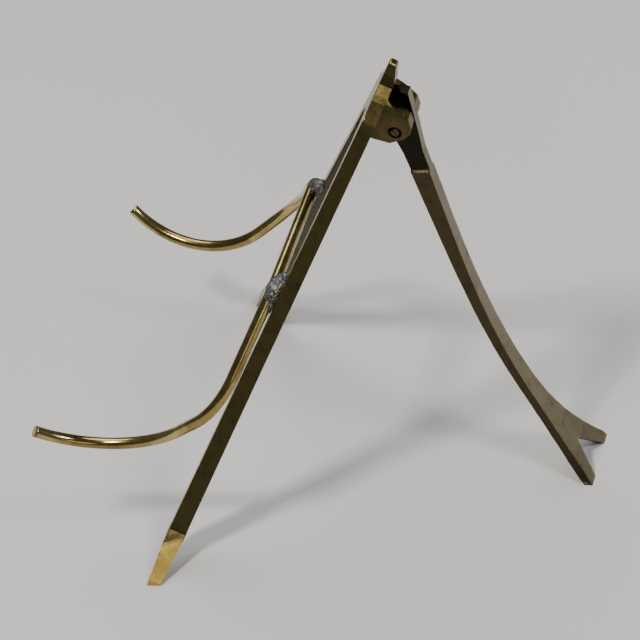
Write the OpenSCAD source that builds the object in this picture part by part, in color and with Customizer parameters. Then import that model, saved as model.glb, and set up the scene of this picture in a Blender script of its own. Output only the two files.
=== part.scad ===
// Folding stand for showing a plate: a cast A-shaped front frame with a bent rod
// of two hooks soldered across it, and a cast back leg hinged behind its head.
// The stand faces -Y, X runs across it, and it rests on z = 0.

/* [Overall] */
// Length of the front frame up its slope, foot line to finial tip
frame_length = 161.3; // [130:1:190]
// Lean of the front frame back from upright, degrees
lean = 29.85; // [24:0.5:36]
// Width across the two front feet
foot_span = 115.6; // [90:1:135]
// Distance from the line of the front feet back to the toes of the back leg
stance_depth = 113; // [90:1:130]

/* [Front frame] */
// Width of each front leg, seen from the front
leg_width = 5.2; // [4:0.1:7]
// Thickness of the front legs at the ankles, front to back
ankle_thickness = 4.8; // [3.5:0.1:6]
// Thickness of the front legs under the head
neck_thickness = 3.6; // [2.5:0.1:5]
// Spread of the leg centre lines at the ankles
ankle_span = 88; // [70:1:110]
// Spread of the leg centre lines just under the head
neck_span = 14; // [12:0.5:18]
// Width across the head at its shoulders
head_width = 19; // [16:0.5:24]
// Width of the finial at its tip
finial_width = 2.6; // [2:0.1:4]

/* [Hinge] */
// Diameter of the hinge pin
pin_d = 2.4; // [1.8:0.1:3]
// Width across the two hinge ears
ear_span = 10; // [9:0.1:13]
// Depth of the ears behind the frame's front face
ear_depth = 12.5; // [10.5:0.1:15]
// Diameter of the sink around each riveted pin end
sink_d = 3.6; // [3:0.1:4.5]

/* [Back leg] */
// Thickness of the tongue that turns between the ears
tongue_width = 2.8; // [2.2:0.1:3.6]
// Width of the leg below the tongue
shank_width = 4.1; // [3.6:0.1:5.4]
// Depth of the leg at the tongue, front to back
tongue_depth = 5.4; // [4.4:0.1:6]
// Depth of the leg near the floor, front to back
toe_depth = 2.2; // [1.6:0.1:3.5]
// Width across the two toes
toe_span = 20; // [15:0.5:28]
// Height of the crotch between the toes
crotch_height = 8; // [5:0.5:14]

/* [Hook rod] */
// Diameter of the rod
rod_d = 3.2; // [2.4:0.1:4]
// Height of the crossbar up the frame's slope
crossbar_up = 89.1; // [70:0.5:110]
// Spread of the elbows where the rod leaves the frame
elbow_span = 81.2; // [60:1:90]
// Drop of the elbows below the crossbar, down the slope
elbow_drop = 30; // [24:0.5:40]
// Spread of the low points of the hooks
low_span = 72; // [56:1:90]
// Reach of the low points in front of the feet
low_reach = 9.4; // [4:0.5:16]
// Height of the corner that each hook rounds at its low point
low_height = 26.4; // [22:0.5:34]
// Spread of the hook tips
tip_span = 88.2; // [66:1:100]
// Reach of the hook tips in front of the feet
tip_reach = 28.1; // [18:0.5:36]
// Height of the hook tips
tip_height = 44.6; // [38:0.5:56]
// Radius of the elbow bends
elbow_r = 24; // [12:1:30]
// Radius of the bends at the crossbar's ends
corner_r = 5; // [3:0.5:8]

/* [Fits] */
// Radial running clearance of the back leg on the pin
pin_clearance = 0.06; // [0.02:0.01:0.1]
// Side clearance of the tongue between the ears
side_clearance = 0.15; // [0.1:0.05:0.4]
// Gap at the open stop between the heel and the frame
stop_clearance = 0.05; // [0.02:0.01:0.2]
// Thickness of solder between the rod and the frame
solder_gap = 0.5; // [0.3:0.05:0.8]

/* [Hidden] */
$fn = 96;
// Overlap used where two solids of one piece meet
bite = 0.1;
steps = 14;

// Stations up the slope of the frame
ankle_up = 11;
neck_up = frame_length - 15;
arch_up = frame_length - 20;
ear_low_up = frame_length - 22.5;
slot_top = frame_length - 7.4;
pin_up = frame_length - 17.5;

// Offsets from the middle plane of the frame, plus towards the plate
front_face = 2.3;
ankle_back = front_face - ankle_thickness;
neck_back = front_face - neck_thickness;
slot_floor = neck_back + 0.8;
ear_back = front_face - ear_depth;
pin_offset = slot_floor - 6;
rod_offset = front_face + solder_gap + rod_d / 2;

ear_half = ear_span / 2;
slot_half = tongue_width / 2 + side_clearance;

// Point of the slope: x across, up along the slope, off towards the plate
function on_slope(x, up, off) =
    [x, up * sin(lean) - off * cos(lean), up * cos(lean) + off * sin(lean)];

pin = on_slope(0, pin_up, pin_offset);

// The stand's middle, front to back, is y = 0
tip_dir = [tip_span - low_span, 2 * (low_reach - tip_reach), 2 * (tip_height - low_height)];
tip_edge = rod_d / 2 * sqrt(1 - pow(tip_dir[1] / norm(tip_dir), 2));
middle_y = (stance_depth - tip_reach - tip_edge) / 2;

function bow(a, b, c, t) = (1 - t) * (1 - t) * a + 2 * t * (1 - t) * b + t * t * c;
function curve(a, b, c, d, t) =
    pow(1 - t, 3) * a + 3 * t * pow(1 - t, 2) * b + 3 * t * t * (1 - t) * c + pow(t, 3) * d;
function unit(v) = v / norm(v);

// Centre line of one front leg, as [x, up], neck to ankle, bowed in at the waist
neck = [neck_span / 2, neck_up];
waist = [neck_span * 0.28 + ankle_span * 0.19, frame_length * 0.515];
ankle = [ankle_span / 2, ankle_up];
function leg_at(t) = bow(neck, waist, ankle, t);
function leg_side(t) =
    let (v = unit(leg_at(t + 0.01) - leg_at(t - 0.01)))
    [-v[1], v[0]] * leg_width / 2;

head_half_outline = [
    [finial_width / 2, frame_length],
    [finial_width / 2 + 0.3, frame_length - 3.5],
    [finial_width / 2 + 1.2, frame_length - 6.4],
    [finial_width / 2 + 3.0, frame_length - 8.8],
    [ear_half + 0.2, frame_length - 10.2],
    [head_width / 2, frame_length - 14.2],
    [head_width / 2, frame_length - 15.5],
];

// Whole outline of a shape alike on both sides, from its right half drawn top to middle
function both_sides(half) = concat(half, [for (i = [len(half) - 1 : -1 : 0]) [-half[i][0], half[i][1]]]);

module frame_outline() {
    outer = [for (i = [1 : steps]) leg_at(i / steps) + leg_side(i / steps)];
    inner = [for (i = [steps : -1 : 1]) leg_at(i / steps) - leg_side(i / steps)];
    toe_x = foot_span / 2;
    foot = [[toe_x - 0.4, 1.6], [toe_x, -3], [toe_x - 3, -3], [toe_x - 4.2, 0]];
    arch_half = neck_span / 2 - leg_width / 2;
    arch = [for (a = [0 : 12 : 84]) [arch_half * cos(a), arch_up - arch_half + arch_half * sin(a)]];
    polygon(both_sides(concat(head_half_outline, outer, foot, inner, arch)));
}

// Head outline carried down over the arch, so the ears hang behind it
module head_outline() {
    polygon(both_sides(concat(head_half_outline, [[head_width / 2, ear_low_up - 2]])));
}

// Stands a shape drawn as [x, up] on the slope, thickened from one offset to another
module up_slope(off_from, off_to) {
    rotate([90 - lean, 0, 0])
        translate([0, 0, off_from])
            linear_extrude(off_to - off_from)
                children();
}

// Runs a profile drawn as [off, up] across the slope, from -half to half
module across_slope(half) {
    rotate([90 - lean, 0, 0])
        rotate([0, -90, 0])
            translate([0, 0, -half])
                linear_extrude(2 * half)
                    children();
}

frame_profile = [
    [front_face - 0.9, -4],
    [front_face, ankle_up - 3],
    [front_face, frame_length],
    [front_face - 2, frame_length],
    [front_face - 2.9, frame_length - 3.2],
    [neck_back, frame_length - 6],
    [neck_back, neck_up],
    [ankle_back, ankle_up],
    [ankle_back + 1.4, -4],
];

ear_profile = [
    [front_face - 1, ear_low_up],
    [neck_back - 1.2, ear_low_up],
    [ear_back + 3.6, ear_low_up + 0.9],
    [ear_back + 0.9, ear_low_up + 4],
    [ear_back, frame_length - 16],
    [ear_back + 0.5, frame_length - 14],
    [ear_back + 2, frame_length - 11.9],
    [ear_back + 4.6, frame_length - 10.6],
    [slot_floor - 2.6, frame_length - 9.8],
    [slot_floor - 0.9, frame_length - 8.8],
    [neck_back + 0.2, frame_length - 7],
    [front_face - 1, frame_length - 6],
];

module hinge_bore(d) {
    translate([-ear_span, pin[1], pin[2]])
        rotate([0, 90, 0])
            cylinder(d = d, h = 2 * ear_span);
}

module front_frame() {
    color([0.42, 0.35, 0.14])
        difference() {
            union() {
                intersection() {
                    up_slope(-20, 12) frame_outline();
                    across_slope(foot_span) polygon(frame_profile);
                }
                intersection() {
                    up_slope(-20, 12) head_outline();
                    across_slope(ear_half) polygon(ear_profile);
                }
            }
            // Slot for the tongue, open at the back and bottom
            up_slope(-24, slot_floor)
                translate([-slot_half, ear_low_up - 6])
                    square([2 * slot_half, slot_top - ear_low_up + 6]);
            hinge_bore(pin_d);
            for (side = [-1, 1])
                translate([side * (ear_half - 0.7), pin[1], pin[2]])
                    rotate([0, side * 90, 0])
                        cylinder(d1 = pin_d, d2 = sink_d, h = 0.7 + bite);
            // Feet cut flat where they stand
            translate([-foot_span, -60, -20])
                cube([2 * foot_span, 120, 20]);
        }
}

// Straight run of rod between two points. It bites a little into the bends it meets, and is a
// hair fuller than they are, as a rod thins where it is bent.
module run(a, b, d) {
    v = b - a;
    translate(a - unit(v) * bite)
        rotate([0, acos(v[2] / norm(v)), atan2(v[1], v[0])])
            cylinder(d = d + 0.02, h = norm(v) + 2 * bite);
}

function turn_at(a, b, c) = acos(unit(b - a) * unit(c - b));
function tangent_at(a, b, c, r) = r * tan(turn_at(a, b, c) / 2);

// Round bend of rod at corner b on the way from a to c
module bend(a, b, c, r, d) {
    turn = turn_at(a, b, c);
    start = b - unit(b - a) * tangent_at(a, b, c, r);
    middle = b + unit(unit(a - b) + unit(c - b)) * r / cos(turn / 2);
    out = unit(start - middle);
    ahead = unit(b - a);
    axis = cross(out, ahead);
    multmatrix([
        [out[0], ahead[0], axis[0], middle[0]],
        [out[1], ahead[1], axis[1], middle[1]],
        [out[2], ahead[2], axis[2], middle[2]],
        [0, 0, 0, 1],
    ])
        rotate_extrude(angle = turn)
            translate([r, 0])
                circle(d = d);
}

// Corners of the rod's centre line on the right side, tip to crossbar
rod_tip = [tip_span / 2, -tip_reach, tip_height];
rod_low = [low_span / 2, -low_reach, low_height];
rod_elbow = on_slope(elbow_span / 2, crossbar_up - elbow_drop, rod_offset);
rod_corner = on_slope(leg_at(0.44)[0] - 1, crossbar_up, rod_offset);
// The hook's bowl is one bend that ends just short of the cut tip
bowl_r = (norm(rod_tip - rod_low) - 0.3) / tan(turn_at(rod_tip, rod_low, rod_elbow) / 2);

function flip(p) = [-p[0], p[1], p[2]];

corner_mid = [0, rod_corner[1], rod_corner[2]];
corner_in = tangent_at(rod_elbow, rod_corner, corner_mid, corner_r);

module half_rod() {
    low_in = tangent_at(rod_tip, rod_low, rod_elbow, bowl_r);
    elbow_in = tangent_at(rod_low, rod_elbow, rod_corner, elbow_r);
    run(rod_tip, rod_low + unit(rod_tip - rod_low) * low_in, rod_d);
    bend(rod_tip, rod_low, rod_elbow, bowl_r, rod_d);
    run(rod_low + unit(rod_elbow - rod_low) * low_in, rod_elbow + unit(rod_low - rod_elbow) * elbow_in, rod_d);
    bend(rod_low, rod_elbow, rod_corner, elbow_r, rod_d);
    run(rod_elbow + unit(rod_corner - rod_elbow) * elbow_in,
        rod_corner + unit(rod_elbow - rod_corner) * corner_in, rod_d);
    bend(rod_elbow, rod_corner, corner_mid, corner_r, rod_d);
}

module hook_rod() {
    color([0.55, 0.45, 0.2]) {
        run(flip(rod_corner) + [corner_in, 0, 0], rod_corner - [corner_in, 0, 0], rod_d);
        half_rod();
        mirror([1, 0, 0]) half_rod();
    }
}

// Lump of solder that wraps the rod and wets the leg behind it
module solder_lump() {
    seat = on_slope(rod_corner[0] + 0.6, crossbar_up - 0.8, front_face + 1.2);
    down = unit(rod_elbow - rod_corner);
    hull() {
        translate(seat + down * 3.8)
            sphere(d = 3.4, $fn = 28);
        translate(seat + down * 0.6 + [0.2, 0, 0])
            sphere(d = 5.4, $fn = 28);
        translate(seat - down * 2.6 + [-0.9, 0, 0])
            sphere(d = 4.6, $fn = 28);
        translate(seat - down * 4.4 + [0.6, 0, 0])
            sphere(d = 2.6, $fn = 28);
    }
}

module solder_joint_right() {
    color([0.42, 0.42, 0.4])
        difference() {
            solder_lump();
            hook_rod();
            front_frame();
        }
}

module solder_joint_left() {
    color([0.42, 0.42, 0.4])
        mirror([1, 0, 0])
            solder_joint_right();
}

// Middle of the back leg, as [y, z], from the ears down to the floor
leg_top = [pin[1] + 2.2, pin[2] - 9.5];
leg_toe = [stance_depth - toe_depth / 2 - 0.2, 0];
leg_drop = leg_top[1];
leg_out = leg_toe[0] - leg_top[0];
function shank_at(t) = curve(
    leg_top,
    [leg_top[0] + leg_out * 0.19, leg_drop * 0.643],
    [leg_top[0] + leg_out * 0.30, leg_drop * 0.286],
    leg_toe, t);
function shank_ahead(t) = unit(shank_at(t + 0.01) - shank_at(t - 0.01));
function shank_depth(t) = toe_depth + (tongue_depth - toe_depth) * pow(1 - t, 2.2);
function shank_side(t, sign) =
    let (v = shank_ahead(t))
    shank_at(t) + sign * [-v[1], v[0]] * shank_depth(t) / 2;

// The heel bears on the slot's floor and is rounded at the top
heel_off = slot_floor - stop_clearance;
heel_low = on_slope(0, pin_up + 5.5, heel_off);
heel_top = on_slope(0, frame_length - 8.8, heel_off);
heel_back = on_slope(0, frame_length - 8.1, heel_off - 1.6);
crown_back = [pin[1] + 4.3, heel_back[2] - 0.3];
pin_back = [pin[1] + 4.8, pin[2] - 2];

module shank_profile() {
    backs = [for (i = [0 : steps]) shank_side(i / steps, 1)];
    fronts = [for (i = [steps : -1 : 0]) shank_side(i / steps, -1)];
    below = [[stance_depth + 1.2, -3], [stance_depth - toe_depth - 1.6, -3]];
    head = [
        [pin[1] - 2.6, pin[2] - 2.4],
        [heel_low[1], heel_low[2]],
        [heel_top[1], heel_top[2]],
        [heel_back[1], heel_back[2]],
        crown_back,
        pin_back,
    ];
    polygon(concat(backs, below, fronts, head));
}

// Half widths of the leg at heights from the step below the tongue to the floor
step_z = pin[2] - 16;
function shank_half(z) =
    let (k = z / step_z)
    shank_width / 2 + 1.6 * pow(1 - k, 2) + (toe_span / 2 - shank_width / 2 - 1.6) * pow(max(0, 1 - z / 30), 2.2);

module shank_front() {
    flank = [for (i = [0 : 2 * steps]) let (z = step_z * (1 - i / (2 * steps))) [shank_half(z), z]];
    polygon(both_sides(concat(
        [[tongue_width / 2, pin[2] + 20], [tongue_width / 2, step_z + 0.6]],
        flank,
        [[toe_span / 2, -4], [toe_span / 2 - 4, -4], [toe_span / 2 - 3.8, 0]],
        [[1.5, crotch_height - 1.6], [0.7, crotch_height - 0.4], [0.3, crotch_height]])));
}

module back_leg() {
    color([0.45, 0.4, 0.25])
        difference() {
            intersection() {
                rotate([90, 0, 90])
                    translate([0, 0, -toe_span])
                        linear_extrude(2 * toe_span)
                            shank_profile();
                rotate([90, 0, 0])
                    translate([0, 0, -2 * stance_depth])
                        linear_extrude(3 * stance_depth)
                            shank_front();
            }
            hinge_bore(pin_d + 2 * pin_clearance);
            translate([-toe_span, 0, -20])
                cube([2 * toe_span, 2 * stance_depth, 20]);
        }
}

// Pin riveted over into the sinks of both ears
module hinge_pin() {
    color([0.35, 0.3, 0.2])
        translate([0, pin[1], pin[2]])
            rotate([0, 90, 0]) {
                translate([0, 0, -ear_half + 0.4])
                    cylinder(d = pin_d, h = ear_span - 0.8);
                for (side = [-1, 1])
                    translate([0, 0, side * (ear_half - 0.4)])
                        mirror([0, 0, side < 0 ? 1 : 0])
                            cylinder(d1 = pin_d, d2 = pin_d * 0.6, h = 0.6);
            }
}

translate([0, -middle_y, 0]) {
    front_frame();
    hook_rod();
    solder_joint_right();
    solder_joint_left();
    back_leg();
    hinge_pin();
}
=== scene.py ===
import math

import bmesh
import bpy
from mathutils import Matrix, Vector, noise


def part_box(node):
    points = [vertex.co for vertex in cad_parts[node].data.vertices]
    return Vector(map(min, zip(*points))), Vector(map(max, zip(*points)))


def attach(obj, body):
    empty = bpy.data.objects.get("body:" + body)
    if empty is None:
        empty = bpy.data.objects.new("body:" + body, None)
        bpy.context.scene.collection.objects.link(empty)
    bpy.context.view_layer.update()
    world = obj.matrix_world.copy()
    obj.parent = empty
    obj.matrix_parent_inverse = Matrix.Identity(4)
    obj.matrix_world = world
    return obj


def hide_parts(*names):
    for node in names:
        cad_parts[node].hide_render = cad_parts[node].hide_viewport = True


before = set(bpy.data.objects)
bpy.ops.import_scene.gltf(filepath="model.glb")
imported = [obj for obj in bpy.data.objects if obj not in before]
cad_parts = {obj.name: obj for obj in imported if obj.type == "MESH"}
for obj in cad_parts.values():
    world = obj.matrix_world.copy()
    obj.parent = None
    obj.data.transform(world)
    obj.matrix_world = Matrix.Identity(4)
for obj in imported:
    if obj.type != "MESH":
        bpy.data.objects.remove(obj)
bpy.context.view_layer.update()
MM = 0.001

# ---------------------------------------------------------------- camera

# The photograph's viewing angles in degrees, its distance and aim in metres, and its lens
CAM_AZ = 115.67
CAM_EL = 42.651
CAM_ROLL = -14.813
CAM_DIST = 0.865935
CAM_LENS = 175.28
CAM_AIM = Vector((-0.016364, -0.008119, 0.031487))


def make_camera():
    az = math.radians(CAM_AZ)
    el = math.radians(CAM_EL)
    roll = math.radians(CAM_ROLL)
    away = Vector((math.sin(az) * math.cos(el), -math.cos(az) * math.cos(el), math.sin(el)))
    level = (-away).cross(Vector((0, 0, 1))).normalized()
    upright = level.cross(-away)
    right = math.cos(roll) * level + math.sin(roll) * upright
    up = -math.sin(roll) * level + math.cos(roll) * upright
    place = CAM_AIM + CAM_DIST * away
    data = bpy.data.cameras.new("photo_camera")
    data.lens = CAM_LENS
    data.sensor_width = 36.0
    camera = bpy.data.objects.new("photo_camera", data)
    camera.matrix_world = Matrix((
        (right.x, up.x, away.x, place.x),
        (right.y, up.y, away.y, place.y),
        (right.z, up.z, away.z, place.z),
        (0, 0, 0, 1),
    ))
    bpy.context.scene.collection.objects.link(camera)
    bpy.context.scene.camera = camera


# ---------------------------------------------------------------- materials


class Nodes:
    """Short names for building one node material."""

    def __init__(self, name):
        self.material = bpy.data.materials.new(name)
        self.material.use_nodes = True
        self.tree = self.material.node_tree
        self.tree.nodes.clear()
        self.out = self.add("ShaderNodeOutputMaterial")
        self.shader = self.add("ShaderNodeBsdfPrincipled")
        self.link(self.shader, "BSDF", self.out, "Surface")
        self.place = self.add("ShaderNodeTexCoord")

    def add(self, kind, **settings):
        node = self.tree.nodes.new(kind)
        for key, value in settings.items():
            setattr(node, key, value)
        return node

    def link(self, a, a_socket, b, b_socket):
        self.tree.links.new(a.outputs[a_socket], b.inputs[b_socket])

    def noise(self, scale, detail=4.0, rough=0.55, stretch=(1, 1, 1), distort=0.0):
        """Noise in object space, scale in features per metre."""
        mapping = self.add("ShaderNodeMapping")
        mapping.inputs["Scale"].default_value = stretch
        self.link(self.place, "Object", mapping, "Vector")
        node = self.add("ShaderNodeTexNoise")
        node.inputs["Scale"].default_value = scale
        node.inputs["Detail"].default_value = detail
        node.inputs["Roughness"].default_value = rough
        node.inputs["Distortion"].default_value = distort
        self.link(mapping, "Vector", node, "Vector")
        return node

    def ramp(self, source, socket, stops):
        node = self.add("ShaderNodeValToRGB")
        ramp = node.color_ramp
        while len(ramp.elements) < len(stops):
            ramp.elements.new(0.5)
        for element, (at, color) in zip(ramp.elements, stops):
            element.position = at
            element.color = (*color, 1) if len(color) == 3 else (color[0], color[0], color[0], 1)
        self.link(source, socket, node, "Fac")
        return node

    def mix(self, kind, factor, a, b):
        """Mix of two colours; each argument is a value or a (node, socket) pair."""
        node = self.add("ShaderNodeMix", data_type="RGBA", blend_type=kind)
        for index, value in ((0, factor), (6, a), (7, b)):
            if isinstance(value, tuple) and isinstance(value[0], bpy.types.Node):
                self.tree.links.new(value[0].outputs[value[1]], node.inputs[index])
            elif index == 0:
                node.inputs[0].default_value = value
            else:
                node.inputs[index].default_value = (*value, 1)
        return node

    def pointy(self, low, high):
        """0 in hollows to 1 on worn edges."""
        geometry = self.add("ShaderNodeNewGeometry")
        return self.ramp(geometry, "Pointiness", [(low, (0.0,)), (high, (1.0,))])

    def bump(self, layers):
        """Stacks bumps; each layer is (node, socket, strength, height in metres)."""
        last = None
        for node, socket, strength, height in layers:
            bump = self.add("ShaderNodeBump")
            bump.inputs["Strength"].default_value = strength
            bump.inputs["Distance"].default_value = height
            self.link(node, socket, bump, "Height")
            if last:
                self.link(last, "Normal", bump, "Normal")
            last = bump
        self.link(last, "Normal", self.shader, "Normal")


def brass(name, deep, body, bright, rough, grain=(1, 1, 1), tarnish=0.5, scratch=0.35, pitted=0.0, zones=()):
    """Aged polished brass: cloudy tones, tarnish in hollows and fine file marks.

    zones are functions that paint one more tone over a place on the piece, in order; here they carry painted
    light and shade.
    """
    m = Nodes(name)
    clouds = m.noise(48, 5, 0.62, distort=0.5)
    final = m.ramp(clouds, "Fac", [(0.30, deep), (0.50, body), (0.72, bright)]), "Color"
    for zone in zones:
        final = zone(m, final)
    stain = m.noise(260, 6, 0.72, stretch=grain)
    stain_mask = m.ramp(stain, "Fac", [(0.50, (0.0,)), (0.68, (0.6,))])
    final = m.mix("MULTIPLY", (stain_mask, "Color"), final, (0.45, 0.40, 0.34)), 2
    freckles = m.noise(1500, 3, 0.6)
    freckle_mask = m.ramp(freckles, "Fac", [(0.66, (0.0,)), (0.74, (0.8,))])
    final = m.mix("MULTIPLY", (freckle_mask, "Color"), final, (0.35, 0.30, 0.25)), 2
    hollow = m.pointy(0.40, 0.485)
    dirty = m.mix("MULTIPLY", tarnish, final, (0.20, 0.17, 0.12))
    final = m.mix("MIX", (hollow, "Color"), (dirty, 2), final), 2
    m.link(*final, m.shader, "Base Color")
    m.shader.inputs["Metallic"].default_value = 1.0
    rough_noise = m.noise(170, 5, 0.65, stretch=grain)
    rough_map = m.ramp(rough_noise, "Fac", [(0.3, (rough * 0.7,)), (0.7, (rough * 1.5,))])
    m.link(rough_map, "Color", m.shader, "Roughness")
    lines = m.noise(1100, 3, 0.6, stretch=grain)
    m.bump([
        (clouds, "Fac", 0.20, 0.0003),
        (lines, "Fac", scratch, 0.00003),
        (stain, "Fac", 0.15 + pitted, 0.00006),
    ])
    return m.material


def height_zone(full, none, tone):
    """Paints tone where the height is past full, fading to nothing at none; heights in mm."""

    def paint(m, under):
        split = m.add("ShaderNodeSeparateXYZ")
        m.link(m.place, "Object", split, "Vector")
        mask = m.add("ShaderNodeMapRange")
        mask.inputs["From Min"].default_value = none * MM
        mask.inputs["From Max"].default_value = full * MM
        m.link(split, "Z", mask, "Value")
        return m.mix("MIX", (mask, "Result"), under, tone), 2

    return paint


def facing_zone(direction, low, high, tone):
    """Paints tone on the faces that look along direction, between two cosines."""

    def paint(m, under):
        facing = m.add("ShaderNodeVectorMath", operation="DOT_PRODUCT")
        facing.inputs[1].default_value = direction
        m.link(m.place, "Normal", facing, 0)
        mask = m.add("ShaderNodeMapRange")
        mask.inputs["From Min"].default_value = low
        mask.inputs["From Max"].default_value = high
        m.link(facing, "Value", mask, "Value")
        return m.mix("MIX", (mask, "Result"), under, tone), 2

    return paint


def pin_zone(centre, full, none, tone):
    """Paints tone round the hinge line, fading between two radii in mm."""

    def paint(m, under):
        flat = m.add("ShaderNodeVectorMath", operation="MULTIPLY")
        flat.inputs[1].default_value = (0, 1, 1)
        m.link(m.place, "Object", flat, 0)
        away = m.add("ShaderNodeVectorMath", operation="DISTANCE")
        away.inputs[1].default_value = (0, centre.y, centre.z)
        m.link(flat, 0, away, 0)
        mask = m.add("ShaderNodeMapRange")
        mask.inputs["From Min"].default_value = none * MM
        mask.inputs["From Max"].default_value = full * MM
        m.link(away, "Value", mask, "Value")
        return m.mix("MIX", (mask, "Result"), under, tone), 2

    return paint


def solder_grey(name):
    """Dull cast tin: grainy, dark in its pits and bright where it was rubbed."""
    m = Nodes(name)
    grain = m.noise(900, 6, 0.7)
    tone = m.ramp(
        grain, "Fac", [(0.32, (0.035, 0.035, 0.037)), (0.5, (0.12, 0.12, 0.12)), (0.7, (0.30, 0.30, 0.29))])
    flux = m.noise(220, 4, 0.6)
    flux_mask = m.ramp(flux, "Fac", [(0.48, (0.0,)), (0.66, (0.7,))])
    dark = m.mix("MIX", (flux_mask, "Color"), (tone, "Color"), (0.045, 0.035, 0.022))
    edge = m.pointy(0.52, 0.62)
    final = m.mix("MIX", (edge, "Color"), (dark, 2), (0.42, 0.42, 0.41))
    m.link(final, 2, m.shader, "Base Color")
    m.shader.inputs["Metallic"].default_value = 0.85
    rough_map = m.ramp(grain, "Fac", [(0.3, (0.75,)), (0.7, (0.42,))])
    m.link(rough_map, "Color", m.shader, "Roughness")
    m.bump([(grain, "Fac", 0.5, 0.0001), (flux, "Fac", 0.3, 0.0002)])
    return m.material


# ---------------------------------------------------------------- mesh helpers


def new_object(name, mesh):
    obj = bpy.data.objects.new(name, mesh)
    bpy.context.scene.collection.objects.link(obj)
    return obj


def node_copy(node, name, stations):
    """A welded copy of a CAD node's mesh, cut across at the given heights so that its curves shade evenly."""
    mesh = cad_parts[node].data.copy()
    mesh.materials.clear()
    bm = bmesh.new()
    bm.from_mesh(mesh)
    bmesh.ops.remove_doubles(bm, verts=bm.verts, dist=0.004 * MM)
    bmesh.ops.dissolve_limit(bm, angle_limit=math.radians(0.4), verts=bm.verts, edges=bm.edges)
    for height in stations:
        everything = bm.verts[:] + bm.edges[:] + bm.faces[:]
        bmesh.ops.bisect_plane(
            bm, geom=everything, dist=0.002 * MM, plane_co=(0, 0, height * MM), plane_no=(0, 0, 1))
    bm.to_mesh(mesh)
    bm.free()
    return new_object(name, mesh)


def round_ends(obj, picks, width):
    """Files the picked straight edges round; picks(middle, length) says which."""
    bm = bmesh.new()
    bm.from_mesh(obj.data)
    edges = [e for e in bm.edges
             if len(e.link_faces) == 2 and e.calc_face_angle(0) > 0.6
             and picks((e.verts[0].co + e.verts[1].co) / 2, e.calc_length())]
    bmesh.ops.bevel(bm, geom=edges, offset=width, segments=4, profile=0.5, affect="EDGES", clamp_overlap=True)
    bm.to_mesh(obj.data)
    bm.free()


def soften(obj, width, longest=0.9 * MM, hand=0.03 * MM):
    """Rounds the edges, then gives the faces fine enough points to carry wear and a hand-filed unevenness."""
    bevel = obj.modifiers.new("edges", "BEVEL")
    bevel.width = width
    bevel.segments = 3
    bevel.limit_method = "ANGLE"
    bevel.angle_limit = math.radians(28)
    bake(obj)
    bm = bmesh.new()
    bm.from_mesh(obj.data)
    bmesh.ops.triangulate(bm, faces=bm.faces)
    for _ in range(3):
        long_edges = [e for e in bm.edges if e.calc_length() > longest]
        bmesh.ops.subdivide_edges(bm, edges=long_edges, cuts=1)
        bmesh.ops.triangulate(bm, faces=[f for f in bm.faces if len(f.verts) > 3])
    bm.normal_update()
    for vertex in bm.verts:
        if vertex.co.z > 0.3 * MM:
            vertex.co += vertex.normal * noise.noise(vertex.co / MM * 0.13) * hand
    bm.to_mesh(obj.data)
    bm.free()
    for face in obj.data.polygons:
        face.use_smooth = True
    weighted = obj.modifiers.new("normals", "WEIGHTED_NORMAL")
    weighted.weight = 70


def bake(obj):
    """Applies the modifiers, so that the mesh can be worked on by hand."""
    depsgraph = bpy.context.evaluated_depsgraph_get()
    mesh = bpy.data.meshes.new_from_object(obj.evaluated_get(depsgraph))
    obj.modifiers.clear()
    obj.data = mesh


def finish_piece(obj, node, body, material):
    obj.data.materials.append(material)
    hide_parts(node)
    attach(obj, body)


# ---------------------------------------------------------------- front frame and back leg


# Heights in mm where the filed feet end and where the head starts
ANKLE_HEIGHT = 8.8
HEAD_BASE = 112


def make_frame(material):
    stations = [ANKLE_HEIGHT + step for step in (-1.2, -0.6, 0, 0.6, 1.2)] + list(range(14, HEAD_BASE, 3))
    obj = node_copy("front_frame", "front_frame_casting", stations)
    finial_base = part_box("front_frame")[1].z - 2.2 * MM
    round_ends(obj, lambda middle, length: middle.z > finial_base and length > 1.2 * MM, 0.8 * MM)
    # A small knuckle where the filed foot meets the leg
    for vertex in obj.data.vertices:
        near = 1 - abs(vertex.co.z / MM - ANKLE_HEIGHT) / 1.3
        if near > 0:
            vertex.co += vertex.normal * 0.22 * MM * near
    soften(obj, 0.38 * MM)
    finish_piece(obj, "front_frame", "frame", material)


def make_leg(material):
    stations = list(range(1, 30, 2)) + list(range(32, 104, 3))
    obj = node_copy("back_leg", "back_leg_casting", stations)
    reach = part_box("back_leg")[1].x - 0.6 * MM
    round_ends(obj, lambda middle, length: middle.z < 4 * MM and abs(middle.x) > reach, 1.0 * MM)
    soften(obj, 0.42 * MM)
    finish_piece(obj, "back_leg", "leg", material)


# ---------------------------------------------------------------- hook rod

# The rod's radius, the corners of its centre line on the right side and its bend radii
ROD_R = 1.6 * MM
ROD_TIP = Vector((44.1, -69.967, 44.6)) * MM
ROD_LOW = Vector((36.0, -51.267, 26.4)) * MM
ROD_ELBOW = Vector((40.6, -16.267, 53.449)) * MM
ROD_CORNER = Vector((19.885, -1.335, 79.469)) * MM
ELBOW_R = 24 * MM
CORNER_R = 5 * MM


def turn_at(a, b, c):
    return (b - a).angle(c - b)


def round_corner(a, b, c, radius, steps):
    """Points of the arc that rounds corner b on the way from a to c."""
    turn = turn_at(a, b, c)
    reach = radius * math.tan(turn / 2)
    start = b + (a - b).normalized() * reach
    middle = b + ((a - b).normalized() + (c - b).normalized()).normalized() * radius / math.cos(turn / 2)
    axis = (b - a).cross(c - b).normalized()
    spoke = start - middle
    return [middle + Matrix.Rotation(turn * i / steps, 3, axis) @ spoke for i in range(steps + 1)]


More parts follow.
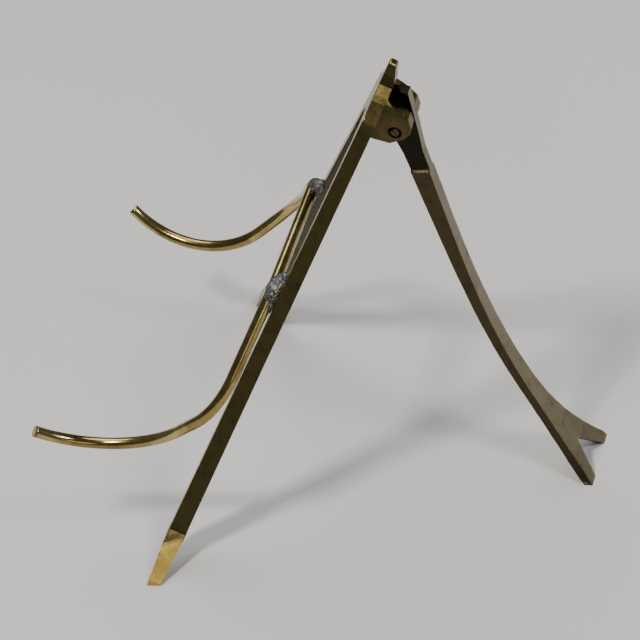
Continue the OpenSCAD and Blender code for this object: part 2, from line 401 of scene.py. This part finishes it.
def rod_path():
    bowl_turn = turn_at(ROD_TIP, ROD_LOW, ROD_ELBOW)
    bowl_r = ((ROD_TIP - ROD_LOW).length - 0.3 * MM) / math.tan(bowl_turn / 2)
    across = Vector((0, ROD_CORNER.y, ROD_CORNER.z))
    half = [ROD_TIP]
    half += round_corner(ROD_TIP, ROD_LOW, ROD_ELBOW, bowl_r, 40)
    half += round_corner(ROD_LOW, ROD_ELBOW, ROD_CORNER, ELBOW_R, 20)
    half += round_corner(ROD_ELBOW, ROD_CORNER, across, CORNER_R, 12)
    other = [Vector((-p.x, p.y, p.z)) for p in reversed(half)]
    return half + other


def spread_points(points, gap):
    """The same path with points an even gap apart."""
    out = [points[0].copy()]
    carry = 0.0
    for a, b in zip(points, points[1:]):
        length = (b - a).length
        at = gap - carry
        while at < length:
            out.append(a.lerp(b, at / length))
            at += gap
        carry = length - (at - gap)
    out.append(points[-1].copy())
    return out


def tube(name, path, radius_at, sides=28, chamfer=0.35 * MM):
    """Round bar swept along a path, with lightly filed ends."""
    bm = bmesh.new()
    ahead = [(path[min(i + 1, len(path) - 1)] - path[max(i - 1, 0)]).normalized() for i in range(len(path))]
    side = ahead[0].orthogonal().normalized()
    rings = []
    for i, point in enumerate(path):
        side = (side - ahead[i] * side.dot(ahead[i])).normalized()
        up = ahead[i].cross(side)
        ring = []
        for k in range(sides):
            angle = 2 * math.pi * k / sides
            spoke = math.cos(angle) * side + math.sin(angle) * up
            ring.append(bm.verts.new(point + spoke * radius_at(point, i, len(path), angle)))
        rings.append(ring)
    for end, inward in ((0, 1), (-1, -1)):
        lift = ahead[end] * -inward
        centre = path[end]
        last = rings[end]
        for k in (1, 2, 3):
            tilt = math.radians(30 * k)
            shrink = chamfer * (1 - math.cos(tilt)) / ROD_R
            rise = lift * chamfer * (math.sin(tilt) - 1)
            ring = [bm.verts.new(centre + (v.co - centre) * (1 - shrink) + rise) for v in rings[end]]
            join_rings(bm, last, ring, inward > 0)
            last = ring
        bm.faces.new(last if inward < 0 else list(reversed(last)))
    for a, b in zip(rings, rings[1:]):
        join_rings(bm, b, a, True)
    bmesh.ops.recalc_face_normals(bm, faces=bm.faces)
    mesh = bpy.data.meshes.new(name)
    bm.to_mesh(mesh)
    bm.free()
    for face in mesh.polygons:
        face.use_smooth = True
    return new_object(name, mesh)


def join_rings(bm, a, b, flip):
    count = len(a)
    for k in range(count):
        quad = [a[k], a[(k + 1) % count], b[(k + 1) % count], b[k]]
        bm.faces.new(quad if flip else list(reversed(quad)))


def make_rod(material):
    path = spread_points(rod_path(), 0.8 * MM)

    def radius_at(point, i, count, angle):
        hand = noise.noise(point * 90) * 0.03 + noise.noise(point * 420 + Vector((0, 0, angle))) * 0.012
        return ROD_R + hand * MM

    path[0] += (path[1] - path[0]).normalized() * 0.35 * MM
    path[-1] += (path[-2] - path[-1]).normalized() * 0.35 * MM
    obj = tube("hook_rod_bar", path, radius_at)
    finish_piece(obj, "hook_rod", "frame", material)


# ---------------------------------------------------------------- solder

# Lean of the front frame from upright, in degrees
FRAME_LEAN = 29.85

# Beads of a solder joint: distance up the rod from the crossbar's corner, sideways, forward, size
SOLDER_BEADS = (
    (-5.2, 0.2, 0.0, 2.2),
    (-3.4, 0.3, 0.2, 3.4),
    (-1.4, 0.3, 0.3, 4.6),
    (0.4, -0.2, 0.3, 5.0),
    (2.2, -0.7, 0.1, 4.6),
    (3.6, -0.2, -0.3, 3.8),
    (4.8, 0.6, -0.7, 2.6),
)


def make_solder(node, side, material):
    seat_low, seat_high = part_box(node)
    seat = (seat_low + seat_high) / 2
    down = (ROD_ELBOW - ROD_CORNER).normalized()
    forward = Vector((0, -math.cos(math.radians(FRAME_LEAN)), math.sin(math.radians(FRAME_LEAN))))
    across = down.cross(forward).normalized()
    if across.x < 0:
        across = -across
    bm = bmesh.new()
    for along, sideways, out, size in SOLDER_BEADS:
        offset = (-down * along + across * sideways + forward * out) * MM
        place = Vector((abs(seat.x), seat.y, seat.z)) + offset
        place.x *= side
        bmesh.ops.create_icosphere(bm, subdivisions=3, radius=size * MM / 2, matrix=Matrix.Translation(place))
    mesh = bpy.data.meshes.new(node + "_lump")
    bm.to_mesh(mesh)
    bm.free()
    obj = new_object(node + "_lump", mesh)
    remesh = obj.modifiers.new("skin", "REMESH")
    remesh.mode = "VOXEL"
    remesh.voxel_size = 0.16 * MM
    flow = obj.modifiers.new("flow", "SMOOTH")
    flow.iterations = 14
    flow.factor = 0.6
    bake(obj)
    for vertex in obj.data.vertices:
        spot = vertex.co / MM
        lumps = noise.fractal(spot * 0.55 + Vector((side * 7, 0, 0)), 0.9, 2.1, 4) * 0.30
        pits = max(0.0, noise.noise(spot * 2.3) - 0.18) * -0.45
        vertex.co += vertex.normal * (lumps + pits) * MM
    for face in obj.data.polygons:
        face.use_smooth = True
    finish_piece(obj, node, "frame", material)


# ---------------------------------------------------------------- hinge pin


def make_pin(material):
    low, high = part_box("hinge_pin")
    centre = (low + high) / 2
    half = (high.x - low.x) / 2
    radius = (high.z - low.z) / 2
    # Half profile of the pin, as [distance from the middle, radius]: shank, flared lip and peened dome
    profile = [
        (half - 1.0 * MM, radius),
        (half - 0.6 * MM, radius * 1.02),
        (half - 0.35 * MM, radius * 1.0),
        (half - 0.15 * MM, radius * 0.98),
        (half - 0.02 * MM, radius * 0.92),
        (half + 0.06 * MM, radius * 0.75),
        (half + 0.10 * MM, radius * 0.55),
        (half + 0.06 * MM, radius * 0.30),
    ]
    full = [(-x, r) for x, r in reversed(profile)] + profile
    bm = bmesh.new()
    rings = []
    for x, r in full:
        ring = []
        for k in range(32):
            angle = 2 * math.pi * k / 32
            spot = Vector((x, r * math.cos(angle), r * math.sin(angle)))
            dent = noise.noise(spot / MM * 1.7) * 0.07 * MM if abs(x) > half - 0.5 * MM else 0.0
            ring.append(bm.verts.new(centre + spot * (1 + dent / radius)))
        rings.append(ring)
    for a, b in zip(rings, rings[1:]):
        join_rings(bm, b, a, True)
    bm.faces.new(rings[0])
    bm.faces.new(list(reversed(rings[-1])))
    bmesh.ops.recalc_face_normals(bm, faces=bm.faces)
    mesh = bpy.data.meshes.new("hinge_pin_rivet")
    bm.to_mesh(mesh)
    bm.free()
    for face in mesh.polygons:
        face.use_smooth = True
    obj = new_object("hinge_pin_rivet", mesh)
    finish_piece(obj, "hinge_pin", "frame", material)


# ---------------------------------------------------------------- floor and light


def make_floor():
    mesh = bpy.data.meshes.new("floor")
    reach = 0.95
    corners = [(-reach, -reach, 0), (reach, -reach, 0), (reach, reach, 0), (-reach, reach, 0)]
    mesh.from_pydata([Vector(c) for c in corners], [], [(0, 1, 2, 3)])
    floor = new_object("floor", mesh)
    m = Nodes("pale_floor")
    cloud = m.noise(3, 3, 0.5)
    tone = m.ramp(cloud, "Fac", [(0.3, (0.56, 0.54, 0.515)), (0.7, (0.62, 0.60, 0.575))])
    m.link(tone, "Color", m.shader, "Base Color")
    m.shader.inputs["Roughness"].default_value = 0.85
    floor.data.materials.append(m.material)


def area_light(name, azimuth, elevation, distance, size, power, color):
    """Soft light; azimuth and elevation are those of the direction it comes from."""
    az = math.radians(azimuth)
    el = math.radians(elevation)
    away = Vector((math.sin(az) * math.cos(el), -math.cos(az) * math.cos(el), math.sin(el)))
    data = bpy.data.lights.new(name, "AREA")
    data.shape = "DISK"
    data.size = size
    data.energy = power
    data.color = color
    light = bpy.data.objects.new(name, data)
    light.location = away * distance
    light.rotation_euler = away.to_track_quat("Z", "Y").to_euler()
    bpy.context.scene.collection.objects.link(light)


def make_light():
    area_light("key", 57, 66, 1.6, 0.26, 17.0, (1.0, 0.97, 0.93))
    area_light("second", 162, 53, 1.6, 0.34, 9.0, (0.95, 0.97, 1.0))
    area_light("soft_top", -60, 62, 2.2, 1.6, 22.0, (0.97, 0.98, 1.0))
    area_light("side_card", 108, 24, 1.4, 0.6, 1.4, (1.0, 0.98, 0.94))
    world = bpy.data.worlds.new("studio")
    world.use_nodes = True
    sky = world.node_tree.nodes["Background"]
    sky.inputs["Color"].default_value = (0.80, 0.86, 0.94, 1)
    sky.inputs["Strength"].default_value = 0.16
    bpy.context.scene.world = world


# ---------------------------------------------------------------- assembly

make_camera()
make_floor()
make_light()
pin_low, pin_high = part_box("hinge_pin")
hinge = (pin_low + pin_high) / 2
# Painted shade: dark olive for the frame's side faces
PAINTED_SIDE_SHADE = (0.048, 0.041, 0.016)
# Painted shade: dark brown for the back leg's side faces
PAINTED_LEG_SIDE_SHADE = (0.060, 0.045, 0.022)

make_frame(brass(
    "frame_brass_aged_painted_light", (0.12, 0.093, 0.028), (0.24, 0.185, 0.06), (0.40, 0.31, 0.11), 0.25, tarnish=0.7,
    zones=(
        # Painted shade: the frame's side faces, looking along x, turned dark olive
        facing_zone((1, 0, 0), 0.80, 0.88, PAINTED_SIDE_SHADE),
        facing_zone((-1, 0, 0), 0.80, 0.88, PAINTED_SIDE_SHADE),
        pin_zone(hinge, 3.0, 6.5, (0.085, 0.062, 0.024)),
        # Painted shade: near black in the countersink recess round the pin
        pin_zone(hinge, 1.7, 2.0, (0.010, 0.008, 0.005)),
        # Painted highlight: the filed feet below the ankle painted bright gold
        height_zone(ANKLE_HEIGHT - 0.8, ANKLE_HEIGHT - 0.2, (0.46, 0.33, 0.075)),
    ),
))
make_leg(brass(
    "leg_brass_aged_painted_light", (0.16, 0.135, 0.075), (0.27, 0.235, 0.145), (0.42, 0.37, 0.24), 0.28, tarnish=0.7,
    zones=(
        # Painted shade: the back leg's side faces, looking along x, turned dark brown
        facing_zone((1, 0, 0), 0.55, 0.8, PAINTED_LEG_SIDE_SHADE),
        facing_zone((-1, 0, 0), 0.55, 0.8, PAINTED_LEG_SIDE_SHADE),
        # Near black on the tongue between the ears, within 15.4 mm of the hinge line: painted shade from the
        # ears over some tarnish
        pin_zone(hinge, 15.4, 16.2, (0.016, 0.012, 0.008)),
        # Painted light: the back face gets one even tone, lighter than the shaded sides
        facing_zone((0, 0.93, 0.36), 0.75, 0.9, (0.20, 0.172, 0.105)),
    ),
))
make_rod(brass(
    "rod_brass_bright", (0.18, 0.13, 0.04), (0.36, 0.27, 0.095), (0.58, 0.46, 0.19), 0.15,
))
solder = solder_grey("solder_dull_grey")
make_solder("solder_joint_right", 1, solder)
make_solder("solder_joint_left", -1, solder)
make_pin(brass(
    "pin_brass_dark", (0.05, 0.04, 0.02), (0.12, 0.095, 0.045), (0.25, 0.20, 0.09), 0.4, pitted=0.3,
))
